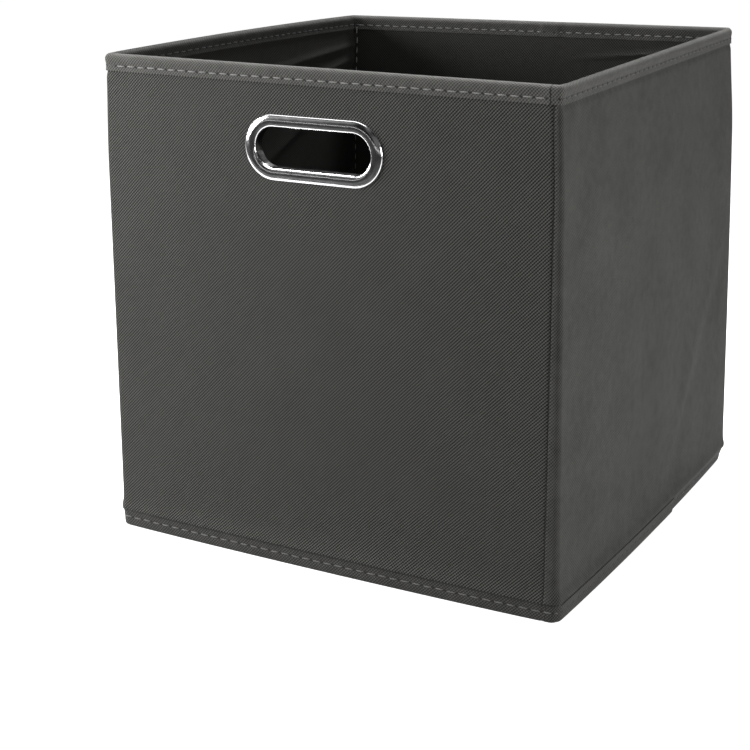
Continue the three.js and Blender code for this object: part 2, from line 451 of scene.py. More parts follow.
@dataclass(frozen=True)
class StudioPaper:
    """Plain studio paper, for the floor and for the cards that the metal mirrors."""

    name: str = "studio_paper"
    glow: float = 0.95
    tint: tuple[float, float, float] = (0.60, 0.60, 0.60)
    patch: float = 40.0
    shade: float = 0.985

    def make(self) -> bpy.types.Material:
        """Returns the material."""
        finish = Finish(self.name)
        grain = finish.noise(finish.place(), self.patch, 2.0)
        darker = tuple(self.shade * channel for channel in self.tint)
        patches = ((grain - 0.5) * 3.0 + 0.5).held()
        return finish.set(
            Base_Color=finish.mix(patches, darker, self.tint),
            Roughness=0.9,
            Emission_Color=(1.0, 1.0, 1.0, 1.0),
            Emission_Strength=self.glow,
        ).material


# ---------------------------------------------------------------- where the cloth stands


@dataclass(frozen=True)
class Drape:
    """Where a point of the flat-laid walls comes to stand.

    The walls are made laid out flat: along the bin's girth from the middle of
    the front, depth inwards from the outermost cloth, and height. The left
    half of the girth is negative.
    """

    card_gap: float = 2.7 * MM
    round_top: float = 2.6 * MM
    round_foot: float = 4.6 * MM
    least_round: float = 0.8 * MM
    lean: float = 2.2 * MM
    seam_high: float = 152.3 * MM
    seam_low: float = 148.3 * MM
    left_flare: float = 1.7 * MM
    right_flare: float = 1.6 * MM
    rear_flare: float = 3.4 * MM
    left_rim_rise: float = 1.4 * MM
    pinch: float = 1.4 * MM
    corner_lift: float = 0.3 * MM
    rim_foot: float = TOP - 10.9 * MM
    pinch_from: float = TOP - 11 * MM
    board_front: float = 1.7 * MM
    board_room: float = 3.0 * MM
    front_bow: float = 2.2
    side_bow: float = 2.6
    crease_rise: float = 0.82
    puff: float = 0.65
    foot_puff: float = 1.25
    foot_top: float = 12.2 * MM
    rear_pull: float = 2.8 * MM
    rim_lift: dict[tuple[int, int], float] = field(
        default_factory=lambda: {
            (-1, -1): 1.0 * MM,
            (1, -1): -1.0 * MM,
            (1, 1): 2.5 * MM,
            (-1, 1): -0.7 * MM,
        }
    )

    def squeeze(self, depth: float, side_share: float, z: float) -> float:
        """Takes out of a depth the room that the front's board needs, where there is no board.

        Args:
            depth: The depth in the front wall's layers.
            side_share: 1 on a side wall, 0 on the front and back.
            z: The height.

        Returns:
            The depth at this place.
        """
        within = clamp((depth - self.board_front) / self.board_room)
        pinched = self.pinch * ease((z - self.pinch_from) / (8 * MM)) * (1 - side_share)
        return depth - within * (self.card_gap * side_share + pinched)

    def billow(self, side: int, t: float, z: float, mirrored: bool) -> float:
        """How far the cloth stands out of its plane.

        Args:
            side: 0 for the front, 1 for a side, 2 for the back.
            t: The distance from the wall's middle.
            z: The height.
            mirrored: Whether this is the left half of the girth.

        Returns:
            The distance outwards.
        """
        inner = ease((HALF - abs(t)) / (30 * MM))
        tall = ease((z - 12 * MM) / (40 * MM)) * ease((TOP - z) / (50 * MM))
        if side == 1:
            wave = 0.55 * math.sin(t / (23 * MM)) * (0.7 + 0.3 * math.sin(z / (60 * MM)))
            wave += 0.12 * math.sin(t / (9.5 * MM))
            fold = (t - 157 * MM) - (z - 200 * MM) * self.crease_rise
            crease = bell(fold, 0.0, 9 * MM) - 0.7 * bell(fold, 18 * MM, 13 * MM)
            bow = self.side_bow * (1 - (t / HALF) ** 2) * (1 - ease(z / (34 * MM)))
            return MM * (inner * tall * (wave + 0.45 * crease * (0.4 if mirrored else 1.0)) + bow)
        slack = 0.25 * math.sin(t / (34 * MM) + z / (51 * MM))
        slack += 0.2 * math.sin(z / (23 * MM) - t / (80 * MM))
        bow = self.front_bow * (1 - (t / HALF) ** 2) * (1 - ease(z / (30 * MM)))
        seam = self.seam_low + (self.seam_high - self.seam_low) * clamp(z / TOP)
        tuck = 0.0 if mirrored else 0.6 * bell(t, seam, 1.0 * MM) * ease((TOP - 9 * MM - z) / (3 * MM))
        return MM * (inner * tall * max(slack, -0.2) * 0.5 + bow - tuck)

    def crumple(self, side: int, t: float, z: float, mirrored: bool) -> float:
        """How far the lining creases into the bin.

        Args:
            side: 0 for the front, 1 for a side, 2 for the back.
            t: The distance from the wall's middle.
            z: The height.
            mirrored: Whether this is the left half of the girth.

        Returns:
            The distance inwards.
        """
        below = self.pinch_from - z
        if below <= 0:
            return 0.0
        fade = ease(below / (6 * MM)) * ease((HALF - abs(t)) / (9 * MM))
        fade *= 1 - 0.8 * ease(below / (150 * MM))
        if side == 1 and mirrored:
            first = bell(below, 12 * MM + (HALF - t) * 0.075, 2.6 * MM)
            second = bell(below, 22 * MM + (HALF - t) * 0.16, 3.6 * MM)
            third = bell(below, 34 * MM + (HALF - t) * 0.42, 4.6 * MM)
            return MM * fade * (1.7 * first + 2.2 * second + 2.0 * third)
        if side == 2 and not mirrored:
            near = t + HALF
            creases = 0.0
            for i in range(4):
                slope = 0.10 + 0.14 * i
                line = (6 + 7 * i) * MM + (near - 30 * MM) * slope
                creases += bell(below, line, (1.8 + 0.5 * i) * MM)
            return MM * fade * 2.5 * creases * (1 - ease((near - 60 * MM) / (70 * MM)))
        return MM * fade * 0.5 * bell(below, 14 * MM + (HALF + t) * 0.12, 3.0 * MM)

    def overhang(self, z: float) -> float:
        """How far the wall cloth puffs out below the rim, and more just above the base binding."""
        foot = ease((z - 11.1 * MM) / (0.9 * MM)) * (1 - ease((z - self.foot_top) / (9 * MM)))
        return MM * (self.puff * ease((self.rim_foot - z) / (4 * MM)) + self.foot_puff * foot)

    def stand(self, u: float, depth: float, z: float, wall: bool = False, lining: bool = False) -> Vector:
        """Finds where one point stands.

        Args:
            u: The distance along the girth.
            depth: The depth inwards, in the front wall's layers.
            z: The height.
            wall: Whether the point is on a wall's outer cloth, which puffs over the base binding.
            lining: Whether the point is on the lining, which creases.

        Returns:
            The point on the standing bin.
        """
        hand = -1.0 if u < 0 else 1.0
        along = abs(u)
        side = int((along + HALF) // SIDE)
        t = along - side * SIDE
        tangent = (WIDE, DEEP, -WIDE)[side]
        outward = (-DEEP, WIDE, DEEP)[side]
        rest = HALF - abs(t)
        sign = -1.0 if t < 0 else 1.0
        share = ease((rest - 1 * MM) / (11 * MM)) if side == 1 else 0.0
        near = self.squeeze(depth, share, z)
        radius = self.round_foot + (self.round_top - self.round_foot) * clamp(z / TOP)
        bend = max(radius - near, self.least_round)
        reach = near + bend
        core = HALF - reach
        if rest < reach:
            angle = math.pi / 4 * (1 - rest / reach)
            normal = outward * math.cos(angle) + tangent * (sign * math.sin(angle))
            ahead = core + bend * math.cos(angle)
            aside = core + bend * math.sin(angle)
            point = outward * ahead + tangent * (sign * aside)
        else:
            normal = outward
            point = outward * (core + bend) + tangent * t
        out = self.billow(side, t, z, hand < 0)
        if wall:
            out += self.overhang(z)
        if lining:
            out -= self.crumple(side, t, z, hand < 0)
        point = point + normal * out
        return self.settle(Vector((point.x * hand, point.y, z)))

    def settle(self, point: Vector) -> Vector:
        """Gives a standing point the bin's lean and flare, its lifted foot corners and uneven rim."""
        across = clamp((point.x / HALF + 1) / 2)
        back = clamp((point.y / HALF + 1) / 2)
        high = clamp(point.z / TOP)
        lift = sum(
            amount * (across if east > 0 else 1 - across) * (back if north > 0 else 1 - back)
            for (east, north), amount in self.rim_lift.items()
        )
        corner = (abs(point.x * point.y) / HALF**2) ** 6
        x = point.x + point.x / HALF * self.lean * (1 - 2 * high)
        body = ease((TOP - point.z) / (70 * MM)) * (0.35 + 0.65 * ease(point.z / (16 * MM)))
        x -= self.rear_pull * high**3 * across * back
        x -= self.left_flare * body * (1 - across)
        x += (self.right_flare + self.rear_flare * back * (1.15 - high)) * body * across
        lift += self.left_rim_rise * (1 - across) * max(0.0, 1 - (point.y / HALF) ** 2)
        z = point.z + lift * high**2 + self.corner_lift * corner * (1 - ease(point.z / (60 * MM)))
        return Vector((x, point.y, z))


# ---------------------------------------------------------------- spans of the girth


class Hold(Enum):
    """How a span of cloth goes with the bodies."""

    RIDE = "ride"
    BEND = "bend"


@dataclass(frozen=True)
class Span:
    """A stretch of the girth and the body or bodies that it goes with."""

    name: str
    start: float
    end: float
    bodies: tuple[str, ...]
    nodes: str
    bend_from: tuple[float, float] = (0.0, 0.0)
    bend_to: tuple[float, float] = (0.0, 0.0)

    @property
    def hold(self) -> Hold:
        """Returns whether the span rides on one body or lies between two."""
        return Hold.BEND if len(self.bodies) == 2 else Hold.RIDE

    @property
    def length(self) -> float:
        """Returns the span's length along the girth."""
        return self.end - self.start

    def attach(self, piece: bpy.types.Object) -> None:
        """Makes a finished piece go with the span's one body; a span between two bodies only gets its
        transform baked.
        """
        if self.hold is Hold.BEND:
            start = (*self.bend_from, TOP / 2)
            end = (*self.bend_to, TOP / 2)
            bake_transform(piece)
        else:
            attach(piece, self.bodies[0])


FLAT_REACH = HALF - 7.5 * MM
MID_HALF = 75 * MM
HINGE = 148.9 * MM


def girth_spans() -> list[Span]:
    """Returns the spans round the bin, from the right rear corner clockwise to it again."""
    turn = 5.0 * MM
    start = 1.2 * MM
    return [
        Span("front", -FLAT_REACH, FLAT_REACH, ("front_wall",), "front"),
        Span(
            "left_front_corner", -SIDE + MID_HALF, -FLAT_REACH, ("front_wall", "left_front_panel"),
            "left_front", (-HALF, -HINGE - start), (-HALF, -HINGE + turn),
        ),
        Span(
            "left_crease", -SIDE - MID_HALF, -SIDE + MID_HALF, ("left_front_panel", "left_rear_panel"), "",
            (-HALF, -turn), (-HALF, turn),
        ),
        Span(
            "left_rear_corner", -2 * SIDE + FLAT_REACH, -SIDE - MID_HALF, ("left_rear_panel", "back_wall"),
            "left_rear", (-HALF, HINGE - turn), (-HALF, HINGE + start),
        ),
        Span(
            "right_front_corner", FLAT_REACH, SIDE - MID_HALF, ("front_wall", "right_front_panel"),
            "right_front", (HALF, -HINGE - start), (HALF, -HINGE + turn),
        ),
        Span(
            "right_crease", SIDE - MID_HALF, SIDE + MID_HALF, ("right_front_panel", "right_rear_panel"), "",
            (HALF, -turn), (HALF, turn),
        ),
        Span("right_rear", SIDE + MID_HALF, SIDE + HALF, ("right_rear_panel",), "right_rear"),
        Span("back", SIDE + HALF, 2 * SIDE + FLAT_REACH, ("back_wall",), "back"),
    ]


# ---------------------------------------------------------------- meshes


def round_off(bm: bmesh.types.BMesh, geom: list, radius: float, segments: int, affect: str) -> None:
    """Rounds vertices or edges off.

    Args:
        bm: The mesh.
        geom: The vertices or edges.
        radius: How far from each the round starts.
        segments: How many faces it has.
        affect: VERTICES or EDGES.
    """
    bmesh.ops.bevel(
        bm, geom=geom, offset=radius, offset_type="OFFSET", segments=segments,
        profile=0.5, affect=affect, material=-1,
    )


class Flat:
    """A mesh that is made laid out flat, and then stood up as part of the bin."""

    def __init__(self) -> None:
        """Starts an empty mesh with the cloth's own coordinates."""
        self.bm = bmesh.new()
        self.uv = self.bm.loops.layers.uv.new(UV_NAME)

    def cut(self, places: list[float], axis: Vector) -> None:
        """Adds an edge line across the mesh at each place along an axis."""
        for place in places:
            geom = self.bm.verts[:] + self.bm.edges[:] + self.bm.faces[:]
            bmesh.ops.bisect_plane(self.bm, geom=geom, plane_co=axis * place, plane_no=axis, dist=1e-6)

    def panel(self, x: tuple[float, float], z: tuple[float, float], step: float) -> "Flat":
        """Lays a rectangle of squares.

        Args:
            x: Where it starts and ends along the girth.
            z: Where it starts and ends in height.
            step: About how big the squares are.

        Returns:
            This mesh.
        """
        wide = x[1] - x[0]
        tall = z[1] - z[0]
        place = Matrix.Translation(((x[0] + x[1]) / 2, 0, (z[0] + z[1]) / 2))
        place = place @ Matrix.Diagonal((wide, 1, tall, 1)) @ Matrix.Rotation(math.pi / 2, 4, "X")
        columns = max(1, round(wide / step))
        rows = max(1, round(tall / step))
        bmesh.ops.create_grid(self.bm, x_segments=columns, y_segments=rows, size=0.5, matrix=place)
        return self

    def section(self, points: list[tuple[float, float]], rounds: dict[int, float], x: tuple[float, float],
                step: float, segments: int = 5) -> "Flat":
        """Pulls a folded strip's section along the girth.

        Args:
            points: The section, as depth and height.
            rounds: The radius at each rounded point.
            x: Where the strip starts and ends.
            step: How long its faces are.
            segments: How many faces round a rounded point.

        Returns:
            This mesh.
        """
        verts = [self.bm.verts.new((x[0], y, z)) for y, z in points]
        for first, second in zip(verts, verts[1:]):
            self.bm.edges.new((first, second))
        for index, radius in rounds.items():
            round_off(self.bm, [verts[index]], radius, segments, "VERTICES")
        pulled = bmesh.ops.extrude_edge_only(self.bm, edges=self.bm.edges[:])["geom"]
        moved = [item for item in pulled if isinstance(item, bmesh.types.BMVert)]
        bmesh.ops.translate(self.bm, verts=moved, vec=(x[1] - x[0], 0, 0))
        count = max(1, round((x[1] - x[0]) / step))
        self.cut([x[0] + (x[1] - x[0]) * i / count for i in range(1, count)], WIDE)
        return self

    def lay_uv(self, fold_at: float = 0.0) -> "Flat":
        """Writes the cloth's own coordinates: along the girth, and across the strip.

        Args:
            fold_at: The height at which a strip is folded over, or 0 for a plain panel.

        Returns:
            This mesh.
        """
        for face in self.bm.faces:
            for loop in face.loops:
                x, y, z = loop.vert.co
                across = z
                if fold_at:
                    across = z + y if y < RIM_DEPTH / 2 else 2 * fold_at - z + y
                loop[self.uv].uv = (x, across)
        return self

    def face_towards(self, way: Vector) -> "Flat":
        """Turns the faces so that they look along a direction more than against it."""
        bmesh.ops.recalc_face_normals(self.bm, faces=self.bm.faces[:])
        if sum(face.normal.dot(way) for face in self.bm.faces) < 0:
            bmesh.ops.reverse_faces(self.bm, faces=self.bm.faces[:])
        return self

    def thicken(self, thickness: float) -> "Flat":
        """Gives the cloth its thickness, behind its faces; finish later keeps the cut edges crisp."""
        bmesh.ops.solidify(self.bm, geom=self.bm.faces[:], thickness=thickness)
        return self

    def move(self, mapping: object) -> "Flat":
        """Moves every vertex to where mapping, a function of its place, puts it."""
        for vert in self.bm.verts:
            vert.co = mapping(vert.co)
        return self

    def finish(self, name: str, material: bpy.types.Material, recalculate: bool = False) -> bpy.types.Object:
        """Makes the object.

        Args:
            name: The piece's name.
            material: Its finish.
            recalculate: Whether the faces still have to be turned outwards.

        Returns:
            The object, at the origin.
        """
        if recalculate:
            bmesh.ops.recalc_face_normals(self.bm, faces=self.bm.faces[:])
        self.bm.normal_update()
        for face in self.bm.faces:
            face.smooth = True
        for edge in self.bm.edges:
            edge.smooth = not (len(edge.link_faces) == 2 and edge.calc_face_angle(0.0) > SHARP_ANGLE)
        mesh = bpy.data.meshes.new(name)
        self.bm.to_mesh(mesh)
        self.bm.free()
        mesh.materials.append(material)
        piece = bpy.data.objects.new(name, mesh)
        bpy.context.scene.collection.objects.link(piece)
        return piece


@dataclass
class Workshop:
    """What every sub-assembly is made with: the drape, the spans and the finishes."""

    drape: Drape = field(default_factory=Drape)
    spans: list[Span] = field(default_factory=girth_spans)
    outer: bpy.types.Material = field(init=False)
    side_shade_thread: bpy.types.Material = field(init=False)
    shaded_thread: bpy.types.Material = field(init=False)
    lining: bpy.types.Material = field(init=False)
    binding: bpy.types.Material = field(init=False)
    thread: bpy.types.Material = field(init=False)
    board: bpy.types.Material = field(init=False)
    chrome: bpy.types.Material = field(init=False)

    def __post_init__(self) -> None:
        """Mixes the finishes."""
        self.outer = EmbossedCloth(
            "outer_cloth", (0.003, 0.0029, 0.0026), (0.112, 0.1115, 0.1022), plain_sides=True
        ).make()
        # The lining is the same cloth drawn darker: painted shade of the bin's inside.
        self.lining = EmbossedCloth(
            "lining_cloth", (0.008, 0.0079, 0.0070), (0.046, 0.0454, 0.0406), contrast=0.45, relief=0.14 * MM
        ).make()
        outer_row = RimBinding.stitch_height
        inner_row = 2 * TOP - RimBinding.stitch_height + RIM_DEPTH
        rows = (outer_row, inner_row, BaseBinding.stitch_height)
        # The binding is drawn lighter than the wall cloth, partly its own paler tone and partly a painted
        # highlight of the lit rim; inside the rim, on the base binding, in its needle holes and in the seam
        # by the front right corner it gets painted shade.
        self.binding = EmbossedCloth(
            "binding_cloth", (0.024, 0.0236, 0.0220), (0.168, 0.1646, 0.1540), contrast=0.30, holes=rows,
            seams=(150.6 * MM,), inner_shade=0.47, foot_shade=0.31,
        ).make()
        self.thread = Thread().make()
        # Darker copies of the same thread, painted shade: one for the side walls, one for the foot and the
        # rim's inside.
        self.side_shade_thread = Thread("side_shade_thread", (0.022, 0.0215, 0.0205), (0.085, 0.083, 0.080)).make()
        self.shaded_thread = Thread("shaded_thread", (0.05, 0.049, 0.046), (0.19, 0.187, 0.178)).make()
        self.board = Cardboard().make()
        self.chrome = Chrome().make()


@dataclass
class StitchRow:
    """A row of machine stitches along one span, in the plain thread on the rim's outside of the front and
    back, and in darker copies of the same thread, painted shade, elsewhere.
    """

    height: float
    depth: float
    length: float = 5.6 * MM
    girth: float = 0.5 * MM
    outside: bool = True

    def make(self, shop: Workshop, span: Span, name: str) -> bpy.types.Object:
        """Builds the stitches of one span as one piece.

        Args:
            shop: The drape and finishes.
            span: The span of the girth.
            name: The piece's name.

        Returns:
            The piece, not yet attached to a body.
        """
        flat = Flat()
        first = math.ceil(span.start / PITCH - 0.5)
        last = math.floor(span.end / PITCH - 0.5)
        for index in range(first, last + 1):
            centre = (index + 0.5) * PITCH
            if not span.start <= centre < span.end:
                continue
            wobble = 0.12 * MM * math.sin(index * 2.7)
            half = self.length / 2 * (1 + 0.05 * math.sin(index * 1.9))
            size = Matrix.Diagonal((half, self.girth, self.girth, 1))
            place = Matrix.Translation((centre, self.depth, self.height + wobble))
            slant = Matrix.Rotation(0.03 * math.sin(index * 4.1), 4, "Y")
            turned = place @ slant @ size @ Matrix.Rotation(math.pi / 2, 4, "Y")
            bmesh.ops.create_uvsphere(flat.bm, u_segments=6, v_segments=5, radius=1.0, matrix=turned)
        flat.lay_uv().move(lambda co: shop.drape.stand(co.x, co.y, co.z))
        # Painted shade: the side walls, the foot and the rim's inside take darker copies of the thread.
        plain = span.name.startswith(("front", "back"))
        bright = shop.thread if self.outside and self.height > HALF else shop.shaded_thread
        piece = flat.finish(name, bright if plain else shop.side_shade_thread)
        return piece


# ---------------------------------------------------------------- walls


@dataclass
class Walls:
    """The outer cloth, lining and boards of the four walls."""

    shop: Workshop
    cloth: float = 0.6 * MM
    outer_depth: float = 1.1 * MM
    lining_depth: float = 4.7 * MM
    foot: float = 9.0 * MM
    hem: float = 5.0 * MM
    head: float = TOP - 1.6 * MM
    step: float = 5.0 * MM
    corner_cuts: tuple[float, ...] = (0.0, 1.0, 2.0, 3.0, 4.0, 4.9, 5.8, 6.6, 7.1, 8.2, 10.0)
    edge_cuts: tuple[float, ...] = (0.5, 1.0, 1.6, 2.6)
    foot_cuts: tuple[float, ...] = (1.2, 2.0, 2.4, 2.8, 3.2, 4.2, 6.0, 8.5)
    head_cuts: tuple[float, ...] = (10.9, 11.7, 12.7, 13.8, 15.0)
    crease_step: float = 1.7 * MM
    hole_half: float = HOLE_STRAIGHT_HALF
    hole_radius: float = 14.2 * MM

    def corner_lines(self, span: Span) -> list[float]:
        """Returns the extra cut lines round the corners within a span."""
        corners = [sign * (HALF + SIDE * k) for sign in (-1, 1) for k in (0, 1)]
        lines = [c + s * cut * MM for c in corners for cut in self.corner_cuts for s in (-1, 1)]
        return sorted({round(x, 6) for x in lines if span.start + 1e-5 < x < span.end - 1e-5})

    def hole_centre(self) -> tuple[float, float]:
        """Returns the hand hole's centre from the CAD ring."""
        low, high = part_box("grommet_face_ring")
        return (low.x + high.x) / 2, (low.z + high.z) / 2

    def open_hole(self, flat: Flat) -> None:
        """Cuts the rounded hand hole through a laid-out panel."""
        cx, cz = self.hole_centre()
        wide = self.hole_half + self.hole_radius + 5 * MM
        tall = self.hole_radius + 5 * MM
        flat.cut([cx - wide, cx + wide], WIDE)
        flat.cut([cz - tall, cz + tall], UPRIGHT)
        inside = [
            face for face in flat.bm.faces
            if abs(face.calc_center_median().x - cx) < wide and abs(face.calc_center_median().z - cz) < tall
        ]
        bmesh.ops.delete(flat.bm, geom=inside, context="FACES")
        window = [
            edge for edge in flat.bm.edges
            if edge.is_boundary and all(
                abs(v.co.x - cx) < wide + 1e-5 and abs(v.co.z - cz) < tall + 1e-5 for v in edge.verts
            )
        ]
        turn = Matrix.Rotation(math.pi / 2, 4, "X") @ Matrix.Rotation(math.pi / 48, 4, "Z")
        ring = bmesh.ops.create_circle(flat.bm, segments=48, radius=self.hole_radius, matrix=turn)["verts"]
        for vert in ring:
            vert.co.x += cx + math.copysign(self.hole_half, vert.co.x)
            vert.co.z += cz
        rim = list({edge for vert in ring for edge in vert.link_edges})
        bmesh.ops.bridge_loops(flat.bm, edges=window + rim)

    def layer(self, span: Span, name: str, depth: float, thickness: float, material: bpy.types.Material,
              x: tuple[float, float], z: tuple[float, float], wall: bool = False) -> bpy.types.Object:
        """Makes one layer of one span.

        Args:
            span: The span.
            name: The piece's name.
            depth: How deep the layer's outer face lies.
            thickness: The layer's thickness.
            material: Its finish.
            x: Where it starts and ends along the girth.
            z: Where it starts and ends in height.
            wall: Whether it puffs over the base binding.

        Returns:
            The piece, attached to its body where its span rides on one.
        """
        flat = Flat().panel(x, z, self.step)
        if span.name == "front":
            self.open_hole(flat)
            edges = [sign * (span.end - cut * MM) for cut in self.edge_cuts for sign in (-1, 1)]
            flat.cut([edge for edge in edges if x[0] < edge < x[1]], WIDE)
        else:
            flat.cut(self.corner_lines(span), WIDE)
        flat.cut([z[0] + extra * MM for extra in self.foot_cuts], UPRIGHT)
        if wall:
            flat.cut([TOP - extra * MM for extra in self.head_cuts], UPRIGHT)
        lining = material is self.shop.lining
        if lining and span.name != "front":
            flat.cut([z[1] - index * self.crease_step for index in range(4, 62)], UPRIGHT)
        flat.face_towards(-DEEP).lay_uv().thicken(thickness)
        drape = self.shop.drape
        flat.move(lambda co: drape.stand(co.x, depth + co.y, co.z, wall, lining))
        piece = flat.finish(name, material)
        span.attach(piece)
        return piece

    def build(self) -> list[bpy.types.Object]:
        """Makes every layer of every span."""
        made = []
        for span in self.shop.spans:
            x = (span.start, span.end)
            outer = self.layer(span, f"{span.name}_outer", self.outer_depth, self.cloth, self.shop.outer,
                               x, (self.foot, self.head), wall=True)
            lining = self.layer(span, f"{span.name}_lining_cloth", self.lining_depth, self.cloth,
                                self.shop.lining, x, (self.hem, self.head))
            if span.nodes:
                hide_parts(f"{span.nodes}_outer_panel")
                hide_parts(f"{span.nodes}_lining")
            made += [outer, lining]
            if span.name in ("front", "back"):
                made.append(self.board(span))
        return made

    def board(self, span: Span) -> bpy.types.Object:
        """Makes the stiff board inside the front or the back."""
        low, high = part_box(f"{span.name}_stiffener")
        middle = (span.start + span.end) / 2 if span.name == "front" else 2 * SIDE
        half = (high.x - low.x) / 2 - 0.6 * MM
        piece = self.layer(span, f"{span.name}_board", 2.0 * MM, 2.3 * MM, self.shop.board,
                           (middle - half, middle + half), (low.z, high.z - 4 * MM))
        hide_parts(f"{span.name}_stiffener")
        return piece


@dataclass
class RimBinding:
    """The bound rim with its stitching outside and inside."""

    shop: Workshop
    low: float = TOP - 10.7 * MM
    depth: float = RIM_DEPTH
    fold: float = 3.0 * MM
    cloth: float = 0.8 * MM
    stitch_height: float = TOP - 7.4 * MM
    lap_start: float = 2 * SIDE - 27 * MM
    lap_length: float = 17 * MM
    cuts: tuple[float, ...] = (0.8, 1.9, 3.0, 4.2, 5.4, 6.6)
    step: float = 1.95 * MM
    thread_sink: float = 0.25 * MM

    def pucker(self, u: float, z: float) -> float:
        """How far the thread pulls the binding in, most at the needle holes."""
        pull = bell(z, self.stitch_height, 1.7 * MM)
        return 0.38 * MM * pull * (0.45 + 0.55 * math.cos(math.pi * u / PITCH) ** 2)

    def stand(self, co: Vector) -> Vector:
        """Stands up one point of the binding."""
        swell = 0.35 * MM * bell(co.z, TOP - 3.2 * MM, 2.2 * MM)
        swell += 0.6 * MM * bell(co.x, 149 * MM, 1.8 * MM) * ease((TOP + MM - co.z) / (3 * MM))
        lapped = co.y > self.depth / 2 and self.lap_start < co.x < self.lap_start + self.lap_length
        pull = self.pucker(co.x, co.z) - swell - (0.8 * MM if lapped else 0.0)
        depth = co.y + pull if co.y < self.depth / 2 else co.y - pull
        return self.shop.drape.stand(co.x, depth, co.z)

    def build(self) -> list[bpy.types.Object]:
        """Makes the binding and its stitches on every span."""
        made = []
        section = [(0.0, self.low), (0.0, TOP), (self.depth, TOP), (self.depth, self.low)]
        width = 2 * (TOP - self.low) + self.depth - 2 * (2 - math.pi / 2) * self.fold
        for span in self.shop.spans:
            folds = {1: self.fold, 2: self.fold}
            flat = Flat().section(section, folds, (span.start, span.end), self.step)
            flat.cut([self.low + extra * MM for extra in self.cuts], UPRIGHT)
            flat.face_towards(UPRIGHT).thicken(self.cloth).lay_uv(TOP).move(self.stand)
            piece = flat.finish(f"{span.name}_binding", self.shop.binding)
            span.attach(piece)
            if span.nodes:
                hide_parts(f"{span.nodes}_rim_binding")
            made.append(piece)
            for name, depth in (("outside", self.thread_sink), ("inside", self.depth - self.thread_sink)):
                row = StitchRow(self.stitch_height, depth, outside=name == "outside")
                stitches = row.make(self.shop, span, f"{span.name}_rim_stitches_{name}")
                span.attach(stitches)
                made.append(stitches)
        return made


@dataclass
class InnerCornerSeams:
    """The upright rows of stitches that close the lining in the corners."""

    shop: Workshop
    inset: float = 7.6 * MM
    depth: float = 5.4 * MM
    over_rim: float = 6.5 * MM
    low: float = 16 * MM
    length: float = 5.2 * MM
    girth: float = 0.45 * MM

    def row(self, name: str, u: float, body: str) -> bpy.types.Object:
        """Makes one upright row.

        Args:
            name: The piece's name.
            u: Its place along the girth.
            body: The wall that it is sewn to.

        Returns:
            The row.
        """
        flat = Flat()
        count = int((TOP - 3 * MM - self.low) / PITCH)
        for index in range(count):
            height = self.low + (index + 0.5) * PITCH
            depth = self.over_rim if height + self.length / 2 > RimBinding.low else self.depth
            place = Matrix.Translation((u, depth, height))
            size = Matrix.Diagonal((self.girth, self.girth, self.length / 2, 1))
            bmesh.ops.create_uvsphere(flat.bm, u_segments=6, v_segments=5, radius=1.0, matrix=place @ size)
        flat.lay_uv().move(lambda co: self.shop.drape.stand(co.x, co.y, co.z))
        piece = flat.finish(name, self.shop.thread)
        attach(piece, body)
        return piece

    def build(self) -> list[bpy.types.Object]:
        """Makes the four rows."""
        near = HALF - self.inset
        return [
            self.row("front_left_corner_stitches", -near, "front_wall"),
            self.row("front_right_corner_stitches", near, "front_wall"),
            self.row("back_left_corner_stitches", -2 * SIDE + near, "back_wall"),
            self.row("back_right_corner_stitches", 2 * SIDE - near, "back_wall"),
        ]


